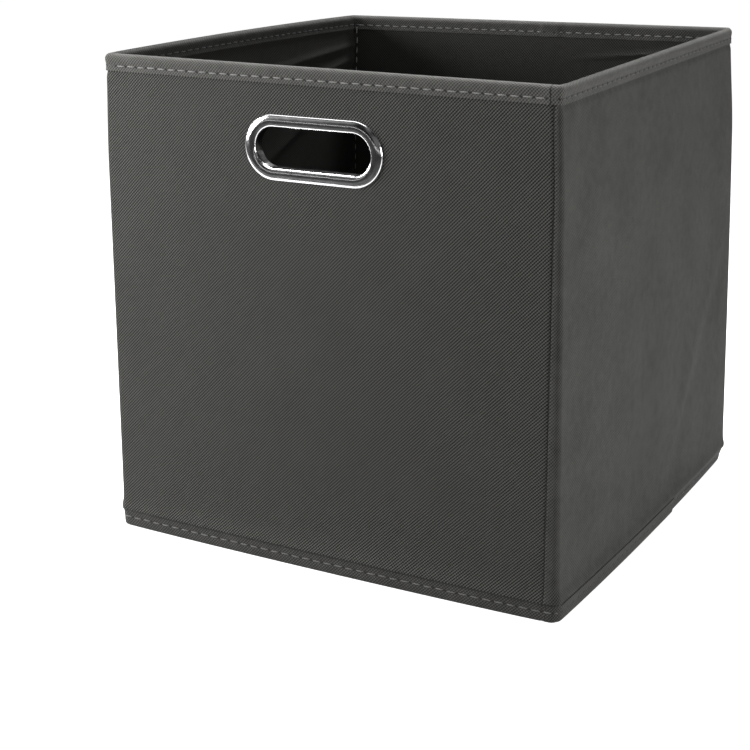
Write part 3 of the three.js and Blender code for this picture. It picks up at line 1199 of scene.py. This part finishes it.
@dataclass
class BaseBinding:
    """The bound foot of the walls, one strip to each stiff part, with its stitches."""

    shop: Workshop
    height: float = 11.7 * MM
    foot: float = 4.0 * MM
    fold: float = 2.2 * MM
    cloth: float = 0.8 * MM
    keep: float = 0.3
    stitch_height: float = 6.9 * MM
    lap_end: float = SIDE + 41 * MM
    lap: float = 1.2 * MM
    cuts: tuple[float, ...] = (4.0, 5.2, 6.1, 6.9, 7.7, 8.8)
    step: float = 1.95 * MM
    thread_sink: float = 0.2 * MM

    def strips(self) -> list[Span]:
        """Returns the strips and the body that each goes with."""
        near = SIDE - HINGE
        far = SIDE + HINGE
        return [
            Span("front_foot", -near, near, ("front_wall",), "bottom_binding"),
            Span("left_front_foot", -SIDE, -near, ("left_front_panel",), ""),
            Span("left_rear_foot", -far, -SIDE, ("left_rear_panel",), ""),
            Span("back_left_foot", -2 * SIDE, -far, ("back_wall",), ""),
            Span("right_front_foot", near, SIDE, ("right_front_panel",), ""),
            Span("right_rear_foot", SIDE, far, ("right_rear_panel",), ""),
            Span("back_right_foot", far, 2 * SIDE, ("back_wall",), ""),
        ]

    def squash(self, piece: bpy.types.Object) -> None:
        """Gives a strip that swings over the base board its own copy of its mesh."""
        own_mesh(piece)

    def stand(self, co: Vector) -> Vector:
        """Stands up one point of the strip."""
        pull = 0.3 * MM * bell(co.z, self.stitch_height, 1.6 * MM)
        pull *= 0.5 + 0.5 * math.cos(math.pi * co.x / PITCH) ** 2
        lapped = ease((co.x - HALF) / (6 * MM)) if HALF < co.x < self.lap_end else 0.0
        outer = co.y < 0.7 * MM
        depth = co.y + (pull - self.lap * lapped if outer else 0.0)
        return self.shop.drape.stand(co.x, depth, co.z)

    def build(self) -> list[bpy.types.Object]:
        """Makes the strips and their stitches."""
        made = []
        section = [(0.0, self.height), (0.0, 0.0), (self.foot, 0.0)]
        width = self.height + self.foot - (2 - math.pi / 2) * self.fold
        for span in self.strips():
            flat = Flat().section(section, {1: self.fold}, (span.start, span.end), self.step)
            flat.cut([extra * MM for extra in self.cuts], UPRIGHT)
            flat.face_towards(-UPRIGHT).thicken(self.cloth).lay_uv().move(self.stand)
            piece = flat.finish(f"{span.name}_binding", self.shop.binding)
            row = StitchRow(self.stitch_height, self.thread_sink)
            stitches = row.make(self.shop, span, f"{span.name}_stitches")
            for item in (piece, stitches):
                span.attach(item)
                if span.name != "front_foot":
                    self.squash(item)
            if span.nodes:
                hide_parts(span.nodes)
            made += [piece, stitches]
        return made


@dataclass
class Floor:
    """The bottom cloth and the loose board on it."""

    shop: Workshop
    step: float = 8.0 * MM
    cloth: float = 0.6 * MM
    sleeve_corner: float = 5 * MM
    sleeve_edge: float = 1.2 * MM
    sleeve_cloth: float = 0.45 * MM

    def bottom(self) -> bpy.types.Object:
        """Makes the bottom cloth, turned up inside the base binding."""
        low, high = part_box("bottom_panel")
        size = high.x - low.x - 2.0 * MM
        flat = Flat()
        cells = round(size / self.step)
        bmesh.ops.create_grid(flat.bm, x_segments=cells, y_segments=cells, size=size / 2)
        for face in flat.bm.faces:
            for loop in face.loops:
                loop[flat.uv].uv = (loop.vert.co.x, loop.vert.co.y)
        rim = [edge for edge in flat.bm.edges if edge.is_boundary]
        raised = bmesh.ops.extrude_edge_only(flat.bm, edges=rim)["geom"]
        verts = [item for item in raised if isinstance(item, bmesh.types.BMVert)]
        bmesh.ops.translate(flat.bm, verts=verts, vec=(0, 0, high.z - low.z - self.cloth))
        flat.face_towards(-UPRIGHT).thicken(self.cloth)
        settle = self.shop.drape.settle

        def lie(co: Vector) -> Vector:
            """Lays one point just above the floor, a little slack."""
            slack = 0.25 * MM * math.sin(co.x / (31 * MM)) * math.sin(co.y / (37 * MM))
            return settle(Vector((co.x, co.y, co.z + low.z + slack)))

        piece = flat.move(lie).finish("bottom_cloth", self.shop.outer)
        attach(piece, "front_wall")
        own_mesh(piece)
        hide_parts("bottom_panel")
        return piece

    def cover(self) -> bpy.types.Object:
        """Makes the cloth sleeve that the base board is sewn into."""
        low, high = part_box("base_board_cover")
        flat = Flat()
        size = high - low
        place = Matrix.Translation((low + high) / 2) @ Matrix.Diagonal((size.x, size.y, size.z, 1))
        bmesh.ops.create_cube(flat.bm, size=1.0, matrix=place)
        upright = [edge for edge in flat.bm.edges if abs(edge.verts[0].co.z - edge.verts[1].co.z) > MM]
        round_off(flat.bm, upright, self.sleeve_corner, 6, "EDGES")
        level = [edge for edge in flat.bm.edges if abs(edge.verts[0].co.z - edge.verts[1].co.z) < MM]
        round_off(flat.bm, level, self.sleeve_edge, 3, "EDGES")
        lines = [i * 12 * MM for i in range(-12, 13)]
        flat.cut(lines, WIDE)
        flat.cut(lines, DEEP)
        for face in flat.bm.faces:
            for loop in face.loops:
                co = loop.vert.co
                loop[flat.uv].uv = (co.x + co.z, co.y + co.z)
        flat.thicken(self.sleeve_cloth)
        # The sleeve takes the lining's darker cloth, painted shade of the bin's inside.
        piece = flat.finish("base_board_sleeve", self.shop.lining)
        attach(piece, "base_board")
        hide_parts("base_board_cover")
        return piece

    def build(self) -> list[bpy.types.Object]:
        """Makes the bottom and dresses the board."""
        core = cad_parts["base_board_core"]
        core.data.materials.clear()
        core.data.materials.append(self.shop.board)
        return [self.bottom(), self.cover()]


@dataclass
class HandHold:
    """The metal ring of the hand hole: its face outside and its washer inside."""

    shop: Workshop
    segments: int = 96

    def ring(self, name: str, profile: list[tuple[float, float]], rounds: dict[int, float],
             node: str, thickness: float) -> bpy.types.Object:
        """Turns a section round the hand hole and stretches it.

        Args:
            name: The piece's name.
            profile: The section, as distance from the hole's axis and place along Y.
            rounds: The radius at each rounded point.
            node: The CAD ring that it stands for.
            thickness: The metal's thickness, or 0 for a closed section.

        Returns:
            The ring.
        """
        low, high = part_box("grommet_face_ring")
        centre = (low + high) / 2
        flat = Flat()
        verts = [flat.bm.verts.new((0, y, r)) for r, y in profile]
        pairs = list(zip(verts, verts[1:]))
        if not thickness:
            pairs.append((verts[-1], verts[0]))
        for first, second in pairs:
            flat.bm.edges.new((first, second))
        for index, radius in rounds.items():
            round_off(flat.bm, [verts[index]], radius, 6, "VERTICES")
        half_step = Matrix.Rotation(math.pi / self.segments, 4, "Y")
        bmesh.ops.transform(flat.bm, matrix=half_step, verts=flat.bm.verts[:])
        bmesh.ops.spin(flat.bm, geom=flat.bm.verts[:] + flat.bm.edges[:], axis=(0, 1, 0), cent=(0, 0, 0),
                       angle=2 * math.pi, steps=self.segments, use_merge=True)
        bmesh.ops.remove_doubles(flat.bm, verts=flat.bm.verts[:], dist=1e-6)
        bmesh.ops.recalc_face_normals(flat.bm, faces=flat.bm.faces[:])
        if thickness:
            crest = min(flat.bm.faces, key=lambda face: face.calc_center_median().y)
            if crest.normal.y > 0:
                bmesh.ops.reverse_faces(flat.bm, faces=flat.bm.faces[:])
            flat.thicken(thickness)

        def stretch(co: Vector) -> Vector:
            """Moves the two ends of the ring apart and puts it in its place."""
            apart = math.copysign(HOLE_STRAIGHT_HALF, co.x)
            return Vector((co.x + centre.x + apart, co.y, co.z + centre.z))

        piece = flat.move(stretch).lay_uv().finish(name, self.shop.chrome)
        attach(piece, "front_wall")
        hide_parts(node)
        return piece

    def build(self) -> list[bpy.types.Object]:
        """Makes both rings."""
        face_low, face_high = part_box("grommet_face_ring")
        back_low, back_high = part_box("grommet_back_ring")
        outer = (face_high.z - face_low.z) / 2
        hole = outer - 8.0 * MM
        front = face_low.y
        inside = face_high.y
        face = [
            (outer, front + 2.9 * MM),
            (outer - 0.2 * MM, front + 1.3 * MM),
            (outer - 2.2 * MM, front + 0.25 * MM),
            (hole + 2.9 * MM, front - 0.1 * MM),
            (hole + 0.1 * MM, front + 0.5 * MM),
            (hole, inside - 0.2 * MM),
            (hole + 3.0 * MM, inside),
        ]
        rounds = {1: 0.9 * MM, 2: 1.4 * MM, 3: 1.6 * MM, 4: 1.2 * MM, 5: 0.9 * MM}
        washer_out = (back_high.z - back_low.z) / 2
        washer_in = hole + 1.3 * MM
        washer = [
            (washer_out, back_low.y),
            (washer_out, back_high.y),
            (washer_in, back_high.y),
            (washer_in, back_low.y),
        ]
        return [
            self.ring("hand_hole_ring", face, rounds, "grommet_face_ring", 0.6 * MM),
            self.ring("hand_hole_washer", washer, {}, "grommet_back_ring", 0.0),
        ]


# ---------------------------------------------------------------- studio


@dataclass
class Studio:
    """The floor, the light and the camera."""

    azimuth: float = math.radians(29.15)
    elevation: float = math.radians(16.52)
    roll: float = math.radians(-0.33)
    distance: float = 1.147
    aim: tuple[float, float, float] = (-0.049, 0.0, 0.1081)
    lens: float = 76.70
    shift: float = -0.05
    backdrop: float = 1.05
    ambient: float = 0.105
    gloom: float = 0.34

    def camera(self) -> None:
        """Sets up the camera."""
        data = bpy.data.cameras.new("camera")
        data.lens = self.lens
        data.sensor_width = 36.0
        data.shift_y = self.shift
        data.clip_end = 50.0
        camera = bpy.data.objects.new("camera", data)
        bpy.context.scene.collection.objects.link(camera)
        flat = math.cos(self.elevation)
        back = Vector((
            math.sin(self.azimuth) * flat,
            -math.cos(self.azimuth) * flat,
            math.sin(self.elevation),
        ))
        right = UPRIGHT.cross(back).normalized()
        up = back.cross(right)
        turn = math.cos(self.roll)
        lift = math.sin(self.roll)
        level = right * turn + up * lift
        upright = up * turn - right * lift
        matrix = Matrix((level, upright, back)).transposed().to_4x4()
        matrix.translation = Vector(self.aim) + back * self.distance
        camera.matrix_world = matrix
        bpy.context.scene.camera = camera

    def lamp(self, name: str, place: tuple[float, float, float], size: tuple[float, float],
             power: float) -> None:
        """Hangs one soft rectangular lamp that faces the bin's middle.

        Args:
            name: The lamp's name.
            place: Where it hangs.
            size: Its two sides.
            power: Its power in watts.
        """
        data = bpy.data.lights.new(name, "AREA")
        data.shape = "RECTANGLE"
        data.size, data.size_y = size
        data.energy = power
        lamp = bpy.data.objects.new(name, data)
        bpy.context.scene.collection.objects.link(lamp)
        towards = Vector((0.0, 0.0, 0.15)) - Vector(place)
        lamp.rotation_euler = towards.to_track_quat("-Z", "Y").to_euler()
        lamp.location = place
        lamp.visible_camera = False

    def floor(self) -> None:
        """Lays the pale floor."""
        flat = Flat()
        bmesh.ops.create_grid(flat.bm, x_segments=8, y_segments=8, size=12.0)
        bmesh.ops.translate(flat.bm, verts=flat.bm.verts[:], vec=(0, 0, -0.2 * MM))
        floor = flat.lay_uv().finish("studio_floor", StudioPaper().make())
        floor.visible_diffuse = False

    def card(self, paper: StudioPaper, place: tuple[float, float, float],
             size: tuple[float, float]) -> None:
        """Holds up a level card that only bright surfaces mirror.

        Args:
            paper: What it is made of.
            place: The card's middle.
            size: Its two sides.
        """
        flat = Flat()
        shape = Matrix.Translation(place) @ Matrix.Diagonal((size[0], size[1], 1, 1))
        bmesh.ops.create_grid(flat.bm, x_segments=1, y_segments=1, size=0.5, matrix=shape)
        card = flat.lay_uv().finish(f"{paper.name}_card", paper.make())
        card.visible_camera = False
        card.visible_diffuse = False
        card.visible_shadow = False

    def sky(self) -> None:
        """Fills the room with soft even light behind a white backdrop."""
        world = bpy.data.worlds.new("studio")
        bpy.context.scene.world = world
        world.use_nodes = True
        tree = world.node_tree
        seen = add_node(tree, "ShaderNodeLightPath", {}, {}, "Is Camera Ray")
        mirrored = Sock(tree, seen.out.node.outputs["Is Glossy Ray"])
        way = add_node(tree, "ShaderNodeTexCoord", {}, {}, "Generated")
        patch = add_node(tree, "ShaderNodeTexNoise", {}, {"Vector": way, "Scale": 2.3})
        shadowy = ((patch - 0.42) * 2.6).held() * self.gloom
        strength = seen * (self.backdrop - self.ambient) + self.ambient
        strength = strength - mirrored * (self.ambient - shadowy)
        fill_sockets(tree.nodes["Background"], {0: (1.0, 1.0, 1.0, 1.0), 1: strength})

    def build(self) -> None:
        """Makes the whole studio."""
        bpy.context.scene.view_settings.view_transform = "Standard"
        self.floor()
        self.sky()
        self.lamp("key", place=(-0.70, -0.50, 0.42), size=(0.45, 0.35), power=9.3)
        self.lamp("overhead", place=(-0.25, 0.38, 1.20), size=(0.8, 0.6), power=27.0)
        self.lamp("fill", place=(0.98, -0.33, 0.36), size=(0.5, 0.35), power=5.0)
        dark = StudioPaper("dark_paper", glow=0.0, tint=(0.09, 0.09, 0.09), patch=9.0, shade=0.03)
        bright = StudioPaper("bright_paper", glow=3.2, tint=(0.5, 0.5, 0.5), patch=4.0, shade=0.9)
        self.card(dark, place=(0.0, -2.35, 0.02), size=(6.0, 4.0))
        self.card(bright, place=(-0.50, -0.46, 1.20), size=(1.3, 0.34))
        self.camera()


def main() -> None:
    """Builds the bin and its studio, and reports each piece."""
    logging.basicConfig(level=logging.INFO, format="%(name)s: %(message)s")
    shop = Workshop()
    assemblies = (
        Walls(shop), RimBinding(shop), InnerCornerSeams(shop), BaseBinding(shop), Floor(shop), HandHold(shop)
    )
    for assembly in assemblies:
        for piece in assembly.build():
            LOG.info("%s: %s has %d faces", type(assembly).__name__, piece.name, len(piece.data.polygons))
    Studio().build()


if __name__ == "__main__":
    main()
